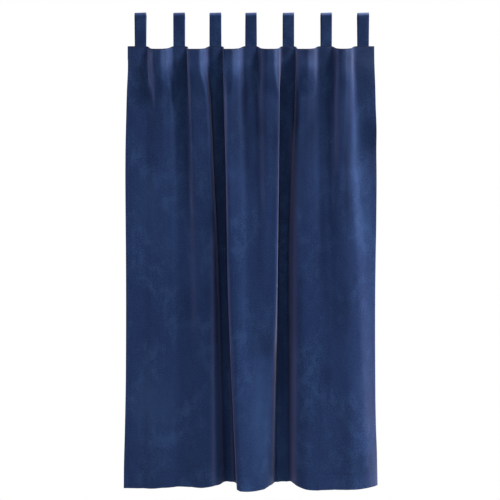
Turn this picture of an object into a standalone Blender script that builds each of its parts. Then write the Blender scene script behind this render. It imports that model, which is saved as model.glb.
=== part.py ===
"""Tab top velvet curtain panel, hanging straight down from its seven tabs.

Metres, +Z up. +X runs to the right seen from the room, and the room is on the -Y side.
The origin is under the crown of the middle tab, where that tab bears on a rod along X.
Depths below are measured down from the top edge of the heading.
"""
import math
from collections import namedtuple

import bpy
import numpy as np

# The velvet, as cut and hemmed
FLAT_WIDTH = 1.400            # side hem to side hem, laid flat
DROP = 1.983                  # top edge of the heading to the bottom hem
THICK = 0.002                 # one layer of velvet with its pile
SEAM = 0.0003                 # room between two layers that are sewn together

# The tabs, which are loops of velvet for a rod
TAB_WIDTH = 0.050
TAB_RISE = 0.149              # heading up to the underside of the crown
TAB_TUCK = 0.050              # each end goes this far down into the heading
ROD_RADIUS = 0.015            # the crown is rounded to this
CROWN_STEPS = 12
LEG_STEPS = 4

# The heading, a facing strip on the back that holds the tab ends
FACING_DEPTH = 0.060
FACING_EASE = 0.0015          # the facing lies flat this far past each side of a tab
SAG = 0.026                   # a fold's crest dips this far between two tabs
SAG_KEPT = 0.20               # share of that dip left at the hem
CREST_DIP = 0.006             # the middle fold hangs this much longer at the hem
CREST_REACH = 0.060           # and this is how far to each side that goes

# Depths at which the tables below give the folds: heading, shoulder, chest, middle and hem
LEVELS = (0.065, 0.220, 0.620, 1.000, DROP)

# Each side hem: where it is along X, and how far it lies behind the heading's plane
Edge = namedtuple("Edge", "x back")
LEFT_EDGE = Edge((-0.5550, -0.5590, -0.5645, -0.5640, -0.5715), (0.0, 0.0, 0.000, 0.000, 0.005))
RIGHT_EDGE = Edge((0.5545, 0.5590, 0.5665, 0.5665, 0.5695), (0.0, 0.003, 0.018, 0.036, 0.060))

# Each tab: its centre along X, and how far behind the heading's plane the cloth under it lies
Tab = namedtuple("Tab", "x back")
TABS = (
    Tab(-0.497, (0.0, 0.001, 0.000, 0.000, 0.005)),
    Tab(-0.323, (0.0, 0.009, 0.008, 0.003, 0.007)),
    Tab(-0.160, (0.0, 0.038, 0.056, 0.062, 0.068)),
    Tab(+0.000, (0.0, -0.009, -0.024, -0.036, -0.046)),
    Tab(+0.168, (0.0, 0.038, 0.053, 0.060, 0.068)),
    Tab(+0.338, (0.0, 0.007, 0.002, -0.010, -0.027)),
    Tab(+0.504, (0.0, 0.003, 0.007, 0.018, 0.042)),
)

# Each fold between two tabs: its left and right foot along X, how far its crest stands out
# in front, and the width of its two sides
Fold = namedtuple("Fold", "left right out left_side right_side")
FOLDS = (
    Fold((-0.4620, -0.462, -0.470, -0.475, -0.490), (-0.3560, -0.346, -0.335, -0.330, -0.340),
         (0.045, 0.018, 0.006, 0.004, 0.010),
         (0.030, 0.060, 0.060, 0.060, 0.070), (0.044, 0.046, 0.055, 0.060, 0.075)),
    Fold((-0.2858, -0.282, -0.273, -0.270, -0.270), (-0.1930, -0.183, -0.166, -0.148, -0.118),
         (0.046, 0.024, 0.012, 0.003, 0.010),
         (0.006, 0.010, 0.016, 0.036, 0.060), (0.036, 0.012, 0.010, 0.024, 0.050)),
    Fold((-0.1251, -0.1225, -0.1120, -0.106, -0.065), (-0.0370, -0.029, -0.022, -0.020, -0.010),
         (0.046, 0.037, 0.039, 0.044, 0.050),
         (0.004, 0.004, 0.004, 0.004, 0.004), (0.046, 0.060, 0.068, 0.045, 0.040)),
    Fold((+0.0315, 0.031, 0.030, 0.030, 0.010), (0.1345, 0.1290, 0.125, 0.121, 0.116),
         (0.046, 0.036, 0.036, 0.036, 0.040),
         (0.035, 0.035, 0.040, 0.040, 0.040), (0.030, 0.004, 0.005, 0.007, 0.066)),
    Fold((+0.2012, 0.199, 0.180, 0.170, 0.176), (0.2990, 0.302, 0.307, 0.321, 0.350),
         (0.046, 0.020, 0.016, 0.018, 0.034),
         (0.006, 0.012, 0.022, 0.036, 0.056), (0.046, 0.048, 0.055, 0.060, 0.070)),
    Fold((+0.3690, 0.363, 0.360, 0.360, 0.360), (0.4620, 0.468, 0.486, 0.520, 0.560),
         (0.042, 0.032, 0.024, 0.016, 0.024),
         (0.030, 0.030, 0.036, 0.040, 0.050), (0.042, 0.050, 0.076, 0.100, 0.110)),
)
BELLY_WIDTH, BELLY_DEPTH = 0.60, 0.30      # a side has gone this deep by this much of its width
ROUNDING = (0.003, 0.005, 0.006, 0.008, 0.014)     # how softly the folds turn
FIT_TURNS = 24                             # halvings while a section is fitted to the width
GRAIN = 0.002                              # spacing of the points that a section is worked on

# Faces of the panel
TAB_STEPS, FOLD_STEPS, EDGE_STEPS = 4, 12, 3
CROWDING = 0.45                            # faces are narrower near the feet of the folds
HEIGHT_STEPS = 15
HEIGHT_POWER = 1.25                        # rows lie closer together near the heading

# Layers at a tab, from the room side: panel, front leg, back leg, facing
LEG_Y = (THICK + SEAM) / 2
PANEL_Y = -(LEG_Y + THICK + SEAM)
FACING_NEAR = THICK + 2 * SEAM             # facing behind panel, middle to middle
FACING_FAR = 2 * (LEG_Y + THICK + SEAM)    # the same, over the two legs of a tab

NAVY_PILE = (0.020, 0.034, 0.098)
NAVY_TABS = (0.019, 0.032, 0.090)
NAVY_FACING = (0.017, 0.029, 0.082)


def glide(depth, places, values):
    """A smooth curve through the values at those places, which never overshoots them."""
    step = np.diff(places)
    rise = np.diff(values) / step
    slope = np.zeros(len(places))
    for k in range(1, len(step)):
        if rise[k - 1] * rise[k] > 0:
            slope[k] = 2 * rise[k - 1] * rise[k] / (rise[k - 1] + rise[k])
    slope[-1] = rise[-1]
    k = min(int(np.searchsorted(places, depth, side="right")), len(step)) - 1
    t = (depth - places[k]) / step[k]
    start = (1 + 2 * t) * values[k] + t * step[k] * slope[k]
    end = (3 - 2 * t) * values[k + 1] + (t - 1) * step[k] * slope[k + 1]
    return (1 - t) ** 2 * start + t ** 2 * end


def corners(depth):
    """The feet, bellies and crests of all the folds at one depth, left to right."""
    backs = [glide(depth, LEVELS, tab.back) for tab in TABS]
    line = [(glide(depth, LEVELS, LEFT_EDGE.x), glide(depth, LEVELS, LEFT_EDGE.back))]
    for k, fold in enumerate(FOLDS):
        left, right = glide(depth, LEVELS, fold.left), glide(depth, LEVELS, fold.right)
        crest = -glide(depth, LEVELS, fold.out)
        rise = glide(depth, LEVELS, fold.left_side)
        fall = glide(depth, LEVELS, fold.right_side)
        line += [
            (left, backs[k]),
            (left + (1 - BELLY_WIDTH) * rise, crest + BELLY_DEPTH * (backs[k] - crest)),
            (left + rise, crest),
            (right - fall, crest),
            (right - (1 - BELLY_WIDTH) * fall, crest + BELLY_DEPTH * (backs[k + 1] - crest)),
            (right, backs[k + 1]),
        ]
    line = np.array(line)
    edge = glide(depth, LEVELS, RIGHT_EDGE.x)
    if line[-1, 0] < edge:
        return np.vstack([line, (edge, glide(depth, LEVELS, RIGHT_EDGE.back))])
    inside = int(np.argmax(line[:, 0] >= edge))
    edge_y = np.interp(edge, line[inside - 1:inside + 1, 0], line[inside - 1:inside + 1, 1])
    return np.vstack([line[:inside], (edge, edge_y)])


def distances(line):
    """Distance along a line to each of its points."""
    return np.concatenate([[0.0], np.cumsum(np.hypot(*np.diff(line, axis=0).T))])


def points_along(line, where):
    """Points at the given distances along a line."""
    along = distances(line)
    return np.column_stack([np.interp(where, along, line[:, axis]) for axis in (0, 1)])


def rounded(line, radius):
    """The line with its corners softened, its two ends kept in place."""
    total = distances(line)[-1]
    points = points_along(line, np.linspace(0, total, int(round(total / GRAIN)) + 1))
    half = int(math.ceil(3 * radius / GRAIN))
    bell = np.exp(-0.5 * (np.arange(-half, half + 1) * GRAIN / radius) ** 2)
    bell /= bell.sum()
    before = 2 * points[0] - points[half:0:-1]
    after = 2 * points[-1] - points[-2:-half - 2:-1]
    padded = np.vstack([before, points, after])
    return np.column_stack([np.convolve(padded[:, axis], bell, "valid") for axis in (0, 1)])


def section(depth):
    """The cloth's line across at one depth, its folds just deep enough to take up the width."""
    depth = max(depth, LEVELS[0])
    line = corners(depth)
    radius = float(np.interp(depth, LEVELS, ROUNDING))
    low, high = 0.5, 2.0
    for _ in range(FIT_TURNS):
        deepness = (low + high) / 2
        curve = rounded(line * (1, deepness), radius)
        if distances(curve)[-1] > FLAT_WIDTH:
            high = deepness
        else:
            low = deepness
    return curve


def stations():
    """Places across the flat cloth, with some on every foot of the folds at the heading."""
    top = section(0.0)
    along = distances(top) * FLAT_WIDTH / distances(top)[-1]
    feet = [x for fold in FOLDS for x in (fold.left[0], fold.right[0])]
    marks = [0.0] + [float(np.interp(x, top[:, 0], along)) for x in feet] + [FLAT_WIDTH]
    counts = [EDGE_STEPS] + [FOLD_STEPS, TAB_STEPS] * (len(FOLDS) - 1) + [FOLD_STEPS, EDGE_STEPS]
    places = [0.0]
    for start, end, count in zip(marks[:-1], marks[1:], counts):
        crowding = CROWDING if count == FOLD_STEPS else 0.0
        for share in (k / count for k in range(1, count + 1)):
            share -= crowding * math.sin(2 * math.pi * share) / (2 * math.pi)
            places.append(start + (end - start) * share)
    return np.array(places)


def across(depth, places):
    """X and Y of the middle of the panel at one depth, at those places on the flat cloth."""
    curve = section(depth)
    points = points_along(curve, places * distances(curve)[-1] / FLAT_WIDTH)
    points[:, 1] += PANEL_Y
    return points


def dips(places):
    """How far the heading's edge dips at each place, from how far the cloth stands out there."""
    forward = PANEL_Y - across(0.0, places)[:, 1]
    return SAG * np.clip(forward / forward.max(), 0, 1)


def behind(points, gap):
    """The line moved to its back by a gap, with every stretch of it still parallel."""
    ahead = np.diff(points, axis=0)
    ahead /= np.linalg.norm(ahead, axis=1, keepdims=True)
    square = np.column_stack([-ahead[:, 1], ahead[:, 0]])
    both = np.vstack([square[:1], square]) + np.vstack([square, square[-1:]])
    return points + 2 * gap * both / (both ** 2).sum(axis=1, keepdims=True)


def velvet(name, colour):
    """A dull cloth material."""
    material = bpy.data.materials.new(name)
    material.use_nodes = True
    shader = material.node_tree.nodes["Principled BSDF"]
    shader.inputs["Base Color"].default_value = (*colour, 1.0)
    shader.inputs["Roughness"].default_value = 0.9
    shader.inputs["Metallic"].default_value = 0.0
    material.diffuse_color = (*colour, 1.0)
    return material


def sheet(name, rows, material):
    """One piece of velvet: rows of points from top to bottom, thickened to both sides."""
    count = len(rows[0])
    points = [tuple(point) for row in rows for point in row]
    faces = []
    for r in range(len(rows) - 1):
        for c in range(count - 1):
            low = (r + 1) * count + c
            faces.append((low, low + 1, low + 1 - count, low - count))
    mesh = bpy.data.meshes.new(name)
    mesh.from_pydata(points, [], faces)
    mesh.shade_smooth()
    mesh.materials.append(material)
    piece = bpy.data.objects.new(name, mesh)
    bpy.context.collection.objects.link(piece)
    solid = piece.modifiers.new("Thickness", "SOLIDIFY")
    solid.thickness = THICK
    solid.offset = 0.0
    solid.use_even_offset = True
    return piece


def heights():
    """Depths of the panel's rows: upright behind the facing, and below it the folds move."""
    below = [(k / HEIGHT_STEPS) ** HEIGHT_POWER for k in range(HEIGHT_STEPS + 1)]
    return [0.0, FACING_DEPTH] + [LEVELS[0] + (DROP - LEVELS[0]) * share for share in below]


def make_panel(material):
    """The one wide piece of velvet, in its folds from heading to hem."""
    places = stations()
    dip = dips(places)
    rows = []
    for depth in heights():
        share = max(depth - LEVELS[0], 0.0) / (DROP - LEVELS[0])
        points = across(depth, places)
        fallen = dip * (1 - (1 - SAG_KEPT) * share)
        fallen += CREST_DIP * share ** 3 * np.exp(-(points[:, 0] / CREST_REACH) ** 2)
        z = -TAB_RISE - depth - fallen
        rows.append(np.column_stack([points, z]))
    return sheet("panel", rows, material)


def make_facing(material):
    """The strip behind the top edge, close to the panel and stepped back over each tab."""
    places = stations()
    points = across(0.0, places)
    line = behind(points, FACING_NEAR)
    drop = dips(places)
    half = TAB_WIDTH / 2 + FACING_EASE
    flat_y = PANEL_Y + FACING_FAR
    for tab in TABS:
        over = np.abs(line[:, 0] - tab.x) < half
        keep = ~over
        before = int(np.argmax(line[:, 0] > tab.x - half))
        corner = [(tab.x - half, flat_y), (tab.x + half, flat_y)]
        line = np.vstack([line[:before], corner, line[before:][keep[before:]]])
        drop = np.concatenate([drop[:before], [0.0, 0.0], drop[before:][keep[before:]]])
    rows = [np.column_stack([line, -TAB_RISE - depth - drop]) for depth in (0.0, FACING_DEPTH)]
    return sheet("heading", rows, material)


def tab_profile():
    """Y and Z along one tab: up from inside the heading, over the crown and down again."""
    bend = ROD_RADIUS + THICK / 2
    drop = TAB_RISE - ROD_RADIUS
    lean = math.asin((bend - LEG_Y) / drop)
    crown = [math.pi + lean - (math.pi + 2 * lean) * k / CROWN_STEPS for k in range(CROWN_STEPS + 1)]
    over = [(bend * math.cos(a), bend * math.sin(a) - ROD_RADIUS) for a in crown]
    foot = (-LEG_Y, -TAB_RISE)
    start = (-LEG_Y, -TAB_RISE - TAB_TUCK)
    leg = [tuple(np.array(foot) + (np.array(over[0]) - foot) * k / LEG_STEPS) for k in range(LEG_STEPS)]
    front = [start] + leg
    back = [(-y, z) for y, z in reversed(front)]
    return front + over + back


def make_tab(number, tab, material):
    """One loop of velvet, hanging open over the line of a rod."""
    sides = (tab.x + TAB_WIDTH / 2, tab.x - TAB_WIDTH / 2)
    rows = [[(x, y, z) for x in sides] for y, z in tab_profile()]
    return sheet(f"tab_{number}", rows, material)


def main():
    for old in list(bpy.data.objects):
        bpy.data.objects.remove(old, do_unlink=True)
    make_panel(velvet("Velvet panel", NAVY_PILE))
    make_facing(velvet("Velvet facing", NAVY_FACING))
    tab_cloth = velvet("Velvet tabs", NAVY_TABS)
    for number, tab in enumerate(TABS, start=1):
        make_tab(number, tab, tab_cloth)


main()
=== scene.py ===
"""Velvet tab top curtain panel: the cloth, its heading and tabs, the sewing and the stage.

Lengths are in metres. +X runs to the right seen from the room, -Y points into the room, and the
origin is under the crown of the middle tab. Depths are measured down from the heading's edge.
"""

import functools
import math
from collections import namedtuple

import bpy
import numpy as np
from bpy.props import FloatProperty, FloatVectorProperty, IntProperty, PointerProperty
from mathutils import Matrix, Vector


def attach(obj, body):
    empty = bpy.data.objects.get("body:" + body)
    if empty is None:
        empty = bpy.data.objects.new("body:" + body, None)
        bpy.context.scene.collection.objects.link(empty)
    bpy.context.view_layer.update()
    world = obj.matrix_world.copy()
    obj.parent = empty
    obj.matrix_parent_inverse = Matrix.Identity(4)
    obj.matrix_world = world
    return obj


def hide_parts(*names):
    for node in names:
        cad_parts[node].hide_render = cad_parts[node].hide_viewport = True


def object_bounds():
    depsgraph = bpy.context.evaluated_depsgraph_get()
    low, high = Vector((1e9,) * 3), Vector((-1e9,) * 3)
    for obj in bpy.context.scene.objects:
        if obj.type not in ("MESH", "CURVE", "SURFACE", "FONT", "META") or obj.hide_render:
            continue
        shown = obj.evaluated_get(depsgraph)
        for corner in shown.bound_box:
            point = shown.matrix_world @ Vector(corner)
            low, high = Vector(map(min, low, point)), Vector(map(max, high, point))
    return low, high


bl_info = {
    "name": "Velvet Tab Top Curtain",
    "version": (1, 0, 0),
    "blender": (4, 5, 0),
    "location": "View3D > Sidebar > Curtain",
    "description": "Builds a hanging velvet curtain panel with sewn tabs",
    "category": "Object",
}

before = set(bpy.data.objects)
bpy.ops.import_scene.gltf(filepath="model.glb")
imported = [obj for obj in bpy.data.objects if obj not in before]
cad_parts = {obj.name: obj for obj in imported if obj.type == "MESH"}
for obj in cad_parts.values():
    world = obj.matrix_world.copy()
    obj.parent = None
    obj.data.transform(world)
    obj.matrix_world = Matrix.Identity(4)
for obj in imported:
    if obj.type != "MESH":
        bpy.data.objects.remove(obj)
CAD_BOX = [list(corner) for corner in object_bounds()]

# The folds, as the solid has them -------------------------

DROP = 1.983  # heading's edge to the bottom hem
THICK = 0.002  # one layer of velvet with its pile
SEAM = 0.0003  # room between two layers that are sewn together
TAB_RISE = 0.149  # heading's edge up to the underside of a crown
TAB_TUCK = 0.050  # a tab's ends go this far down into the heading
ROD_RADIUS = 0.015  # inside of a crown
SAG = 0.0248  # a fold's crest dips this far between two tabs
SAG_POWER = 0.75  # below 1, the dip is flatter in its middle, with steep ends
SAG_KEPT = 0.20  # share of that dip left at the hem
CREST_DIP = 0.006  # the middle fold hangs this much longer at the hem
CREST_REACH = 0.060  # over this much cloth to each side

LEVELS = (0.065, 0.220, 0.620, 1.000, DROP)  # heading, shoulder, chest, middle and hem

Edge = namedtuple("Edge", "x back")
LEFT_EDGE = Edge((-0.5550, -0.5590, -0.5645, -0.5640, -0.5715), (0.0, 0.0, 0.000, 0.000, 0.005))
RIGHT_EDGE = Edge((0.5545, 0.5590, 0.5665, 0.5665, 0.5695), (0.0, 0.003, 0.018, 0.036, 0.060))

Tab = namedtuple("Tab", "x back")
TABS = (
    Tab(-0.497, (0.0, 0.001, 0.000, 0.000, 0.005)),
    Tab(-0.323, (0.0, 0.009, 0.008, 0.003, 0.007)),
    Tab(-0.160, (0.0, 0.038, 0.056, 0.062, 0.068)),
    Tab(+0.000, (0.0, -0.009, -0.024, -0.036, -0.046)),
    Tab(+0.168, (0.0, 0.038, 0.053, 0.060, 0.068)),
    Tab(+0.338, (0.0, 0.007, 0.002, -0.010, -0.027)),
    Tab(+0.504, (0.0, 0.003, 0.007, 0.018, 0.042)),
)

Fold = namedtuple("Fold", "left right out left_side right_side")
FOLDS = (
    Fold((-0.4620, -0.462, -0.470, -0.475, -0.490), (-0.3560, -0.346, -0.335, -0.330, -0.340),
         (0.045, 0.018, 0.006, 0.004, 0.010),
         (0.030, 0.060, 0.060, 0.060, 0.070), (0.044, 0.046, 0.055, 0.060, 0.075)),
    Fold((-0.2858, -0.282, -0.273, -0.270, -0.270), (-0.1930, -0.183, -0.166, -0.148, -0.118),
         (0.046, 0.024, 0.012, 0.003, 0.010),
         (0.006, 0.010, 0.016, 0.036, 0.060), (0.036, 0.012, 0.010, 0.024, 0.050)),
    Fold((-0.1251, -0.1225, -0.1120, -0.106, -0.065), (-0.0370, -0.029, -0.022, -0.020, -0.010),
         (0.046, 0.037, 0.039, 0.044, 0.050),
         (0.004, 0.004, 0.004, 0.004, 0.004), (0.046, 0.060, 0.068, 0.045, 0.040)),
    Fold((+0.0315, 0.031, 0.030, 0.030, 0.010), (0.1345, 0.1290, 0.125, 0.121, 0.116),
         (0.046, 0.036, 0.036, 0.036, 0.040),
         (0.035, 0.035, 0.040, 0.040, 0.040), (0.030, 0.004, 0.005, 0.007, 0.066)),
    Fold((+0.2012, 0.199, 0.180, 0.170, 0.176), (0.2990, 0.302, 0.307, 0.321, 0.350),
         (0.046, 0.020, 0.016, 0.018, 0.034),
         (0.006, 0.012, 0.022, 0.036, 0.056), (0.046, 0.048, 0.055, 0.060, 0.070)),
    Fold((+0.3690, 0.363, 0.360, 0.360, 0.360), (0.4620, 0.468, 0.486, 0.520, 0.560),
         (0.042, 0.032, 0.024, 0.016, 0.024),
         (0.030, 0.030, 0.036, 0.040, 0.050), (0.042, 0.050, 0.076, 0.100, 0.110)),
)
BELLY_WIDTH, BELLY_DEPTH = 0.60, 0.30  # where a fold's side bends, as shares of it
ROUNDING = (0.0045, 0.006, 0.007, 0.008, 0.014)  # softening of the folds at each level
DEEPNESS = (0.5, 2.0)  # the folds are made this much deeper, to fit the flat width
FIT_TURNS = 24
GRAIN = 0.002  # spacing of a line's points while it is softened
CROWDING = 0.35  # how much closer the faces stand at a fold's sides

LEG_Y = (THICK + SEAM) / 2
PANEL_Y = -(LEG_Y + THICK + SEAM)
FACING_NEAR = THICK + 2 * SEAM
FACING_FAR = 2 * (LEG_Y + THICK + SEAM)


def glide(depth, places, values):
    """A smooth curve through the values at those places, which never overshoots them."""
    step = np.diff(places)
    rise = np.diff(values) / step
    slope = np.zeros(len(places))
    for k in range(1, len(step)):
        if rise[k - 1] * rise[k] > 0:
            slope[k] = 2 * rise[k - 1] * rise[k] / (rise[k - 1] + rise[k])
    slope[-1] = rise[-1]
    k = min(int(np.searchsorted(places, depth, side="right")), len(step)) - 1
    t = (depth - places[k]) / step[k]
    start = (1 + 2 * t) * values[k] + t * step[k] * slope[k]
    end = (3 - 2 * t) * values[k + 1] + (t - 1) * step[k] * slope[k + 1]
    return (1 - t) ** 2 * start + t ** 2 * end


def corners(depth):
    """The feet, bellies and crests of all the folds at one depth, left to right."""
    at = functools.partial(glide, depth, LEVELS)
    backs = [at(tab.back) for tab in TABS]
    line = [(at(LEFT_EDGE.x), at(LEFT_EDGE.back))]
    for k, fold in enumerate(FOLDS):
        left, right, crest = at(fold.left), at(fold.right), -at(fold.out)
        rise, fall = at(fold.left_side), at(fold.right_side)
        line += [
            (left, backs[k]),
            (left + (1 - BELLY_WIDTH) * rise, crest + BELLY_DEPTH * (backs[k] - crest)),
            (left + rise, crest),
            (right - fall, crest),
            (right - (1 - BELLY_WIDTH) * fall, crest + BELLY_DEPTH * (backs[k + 1] - crest)),
            (right, backs[k + 1]),
        ]
    line = np.array(line)
    edge = at(RIGHT_EDGE.x)
    if line[-1, 0] < edge:
        return np.vstack([line, (edge, at(RIGHT_EDGE.back))])
    inside = int(np.argmax(line[:, 0] >= edge))
    edge_y = np.interp(edge, line[inside - 1:inside + 1, 0], line[inside - 1:inside + 1, 1])
    return np.vstack([line[:inside], (edge, edge_y)])


def distances(line):
    """Distance along a line to each of its points."""
    return np.concatenate([[0.0], np.cumsum(np.linalg.norm(np.diff(line, axis=0), axis=1))])


def points_along(line, where):
    """Points at the given distances along a line."""
    along = distances(line)
    return np.column_stack([np.interp(where, along, column) for column in line.T])


def rounded(line, radius):
    """The line with its corners softened, its two ends kept in place."""
    total = distances(line)[-1]
    points = points_along(line, np.linspace(0, total, int(round(total / GRAIN)) + 1))
    half = int(math.ceil(3 * radius / GRAIN))
    bell = np.exp(-0.5 * (np.arange(-half, half + 1) * GRAIN / radius) ** 2)
    bell /= bell.sum()
    before = 2 * points[0] - points[half:0:-1]
    after = 2 * points[-1] - points[-2:-half - 2:-1]
    padded = np.vstack([before, points, after])
    return np.column_stack([np.convolve(padded[:, axis], bell, "valid") for axis in (0, 1)])


@functools.lru_cache(maxsize=None)
def section(depth, flat_width):
    """The cloth's line across at one depth, its folds just deep enough to take up the width."""
    depth = max(depth, LEVELS[0])
    line = corners(depth)
    radius = float(np.interp(depth, LEVELS, ROUNDING))
    low, high = DEEPNESS
    for _ in range(FIT_TURNS):
        deepness = (low + high) / 2
        curve = rounded(line * (1, deepness), radius)
        if distances(curve)[-1] > flat_width:
            high = deepness
        else:
            low = deepness
    return curve


def stations(flat_width, fold_steps, tab_steps):
    """Places across the flat cloth, with some on every foot of the folds at the heading."""
    top = section(0.0, flat_width)
    along = distances(top) * flat_width / distances(top)[-1]
    feet = [x for fold in FOLDS for x in (fold.left[0], fold.right[0])]
    marks = [0.0, *np.interp(feet, top[:, 0], along), flat_width]
    edge = [max(fold_steps // 4, 3)]
    counts = edge + [fold_steps, tab_steps] * (len(FOLDS) - 1) + [fold_steps] + edge
    places = [0.0]
    for start, end, count in zip(marks[:-1], marks[1:], counts):
        crowd = CROWDING if count == fold_steps else 0.0
        for share in (k / count for k in range(1, count + 1)):
            share -= crowd * math.sin(2 * math.pi * share) / (2 * math.pi)
            places.append(start + (end - start) * share)
    return np.array(places)


def across(depth, places, flat_width):
    """X and Y of the middle of the panel at one depth, at those places on the flat cloth."""
    curve = section(depth, flat_width)
    points = points_along(curve, places * distances(curve)[-1] / flat_width)
    points[:, 1] += PANEL_Y
    return points


def dips(places, flat_width):
    """How far the heading's edge dips at each place, from how far the cloth stands out there."""
    forward = PANEL_Y - across(0.0, places, flat_width)[:, 1]
    return SAG * np.clip(forward / forward.max(), 0, 1) ** SAG_POWER


def draped(places, depths, flat_width):
    """The middle of the hanging panel, as a grid of points: rows by depth, columns by place."""
    dip = dips(places, flat_width)
    rows = []
    for depth in depths:
        share = max(depth - LEVELS[0], 0.0) / (DROP - LEVELS[0])
        points = across(depth, places, flat_width)
        fallen = dip * (1 - (1 - SAG_KEPT) * share)
        fallen += CREST_DIP * share ** 3 * np.exp(-(points[:, 0] / CREST_REACH) ** 2)
        rows.append(np.column_stack([points, -TAB_RISE - depth - fallen]))
    return np.array(rows)


# Creases, painted light, shade and sheen on the pile, and uneven edges ------

# A crease: X at its two ends, their depths, its spread to each side, its height to the room
Crease = namedtuple("Crease", "top foot start end left right rise")
CREASES = [Crease(*row) for row in (
    (-0.640, -0.640, 0.07, 2.40, 0.170, 0.170, +0.0140),
    (-0.360, -0.352, 0.08, 0.40, 0.010, 0.009, +0.0030),
    (-0.452, -0.436, 0.06, 0.32, 0.014, 0.010, -0.0050),
    (-0.275, -0.270, 0.55, 2.10, 0.030, 0.090, +0.0030),
    (-0.108, -0.100, 0.07, 0.62, 0.010, 0.060, -0.0050),
    (-0.099, -0.050, 0.50, 2.40, 0.015, 0.055, +0.0045),
    (-0.063, -0.063, 1.25, 2.40, 0.012, 0.110, +0.0080),
    (+0.110, +0.105, 1.25, 2.40, 0.120, 0.010, -0.0210),
    (-0.008, -0.008, 0.02, 0.62, 0.022, 0.050, +0.0042),
    (+0.128, +0.122, 0.22, 1.30, 0.018, 0.004, +0.0020),
    (+0.318, +0.330, 0.20, 1.90, 0.022, 0.060, +0.0025),
    (+0.432, +0.432, 0.35, 0.78, 0.018, 0.050, +0.0028),
    (+0.054, +0.054, 0.58, 1.10, 0.030, 0.030, +0.0030),
    (+0.230, +0.261, 0.90, 2.40, 0.020, 0.050, +0.0035),
    (+0.463, +0.463, 0.50, 2.40, 0.130, 0.100, +0.0070),
    (+0.610, +0.610, 0.00, 0.50, 0.130, 0.130, +0.0115),
    (+0.600, +0.600, 0.32, 1.85, 0.120, 0.120, -0.0160),
)]
CREASE_FADE = 0.15  # a crease comes in over this much of the drop

# Painted sheen: pale bands along fold edges, where grazing light would fall
PaintedSheen = namedtuple("PaintedSheen", "top foot start end width amount")
PAINTED_SHEEN = [PaintedSheen(*row) for row in (
    (-0.270, -0.252, 0.50, 1.35, 0.016, 0.20),
    (-0.172, -0.165, 0.75, 2.40, 0.010, 0.45),
    (-0.117, -0.107, 0.04, 0.90, 0.005, 0.75),
    (-0.104, -0.072, 0.90, 2.40, 0.007, 0.45),
    (-0.2855, -0.272, -0.3, 0.35, 0.005, 0.65),
    (+0.206, +0.207, -0.3, 0.20, 0.006, 0.60),
    (+0.045, +0.052, -0.3, 0.80, 0.010, 0.25),
    (+0.192, +0.193, 0.30, 2.40, 0.013, 0.85),
    (+0.383, +0.383, -0.3, 0.60, 0.010, 0.40),
)]

# Painted light and shade on the pile, in soft patches: paler with an amount above 0, darker below
PaintedLight = namedtuple("PaintedLight", "x depth half_width half_height amount")
PAINTED_LIGHT = [PaintedLight(*row) for row in (
    (-0.545, 0.06, 0.030, 0.08, -0.35), (-0.370, 0.06, 0.035, 0.07, -0.50),
    (-0.350, 0.53, 0.025, 0.22, -0.40), (-0.455, 0.72, 0.060, 0.15, +0.28),
    (-0.375, 0.87, 0.035, 0.08, +0.25), (-0.250, 0.64, 0.045, 0.08, -0.35),
    (-0.290, 1.19, 0.060, 0.10, -0.45), (-0.470, 1.60, 0.055, 0.17, +0.45),
    (-0.385, 1.60, 0.050, 0.09, +0.25), (-0.238, 0.16, 0.024, 0.06, +0.42),
    (-0.204, 0.14, 0.010, 0.05, -0.35), (-0.191, 0.31, 0.011, 0.07, -0.40),
    (-0.186, 0.03, 0.018, 0.06, -1.00), (-0.166, 0.38, 0.008, 0.25, +0.60),
    (-0.176, 0.57, 0.014, 0.16, -0.60), (-0.200, 0.95, 0.025, 0.07, +0.30),
    (-0.140, 1.62, 0.018, 0.35, +0.85), (-0.085, 0.02, 0.040, 0.03, -0.50),
    (-0.075, 0.33, 0.025, 0.10, -0.45), (-0.034, 0.20, 0.016, 0.20, -0.85),
    (-0.010, 0.42, 0.045, 0.20, -0.55), (-0.030, 0.85, 0.025, 0.10, -0.30),
    (-0.040, 1.16, 0.022, 0.12, +0.25), (+0.042, 1.64, 0.048, 0.24, +0.60),
    (+0.058, 0.36, 0.045, 0.08, -0.55), (+0.108, 0.50, 0.012, 0.22, -0.35),
    (+0.122, 0.48, 0.006, 0.45, -1.00), (+0.131, 0.09, 0.007, 0.08, -0.60),
    (+0.112, 1.28, 0.014, 0.20, -0.55), (+0.142, 1.42, 0.022, 0.25, -0.55),
    (+0.152, 0.02, 0.030, 0.05, -1.00), (+0.255, 0.02, 0.030, 0.03, -0.75),
    (+0.272, 0.36, 0.040, 0.15, -0.75), (+0.315, 0.06, 0.040, 0.08, -0.65),
    (+0.315, 0.80, 0.028, 0.12, -0.45), (+0.324, 0.98, 0.030, 0.14, -0.60),
    (+0.375, 1.18, 0.050, 0.11, -0.40), (+0.335, 1.47, 0.030, 0.12, -0.40),
    (+0.252, 1.65, 0.015, 0.06, -0.35), (+0.430, 0.58, 0.017, 0.34, -0.75),
    (+0.428, 1.15, 0.030, 0.12, -0.50), (+0.425, 1.72, 0.040, 0.18, -0.40),
    (+0.435, 0.05, 0.018, 0.05, -0.65), (+0.470, 0.09, 0.020, 0.06, -0.50),
    (+0.522, 0.07, 0.046, 0.13, -0.60), (+0.545, 0.52, 0.022, 0.08, -0.60),
    (+0.474, 0.40, 0.026, 0.09, +0.60), (+0.500, 0.80, 0.060, 0.10, +0.42),
    (+0.550, 1.22, 0.025, 0.16, +0.25), (+0.490, 1.52, 0.030, 0.07, +0.30),
    (+0.500, 1.88, 0.060, 0.06, -0.35),
)]

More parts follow.
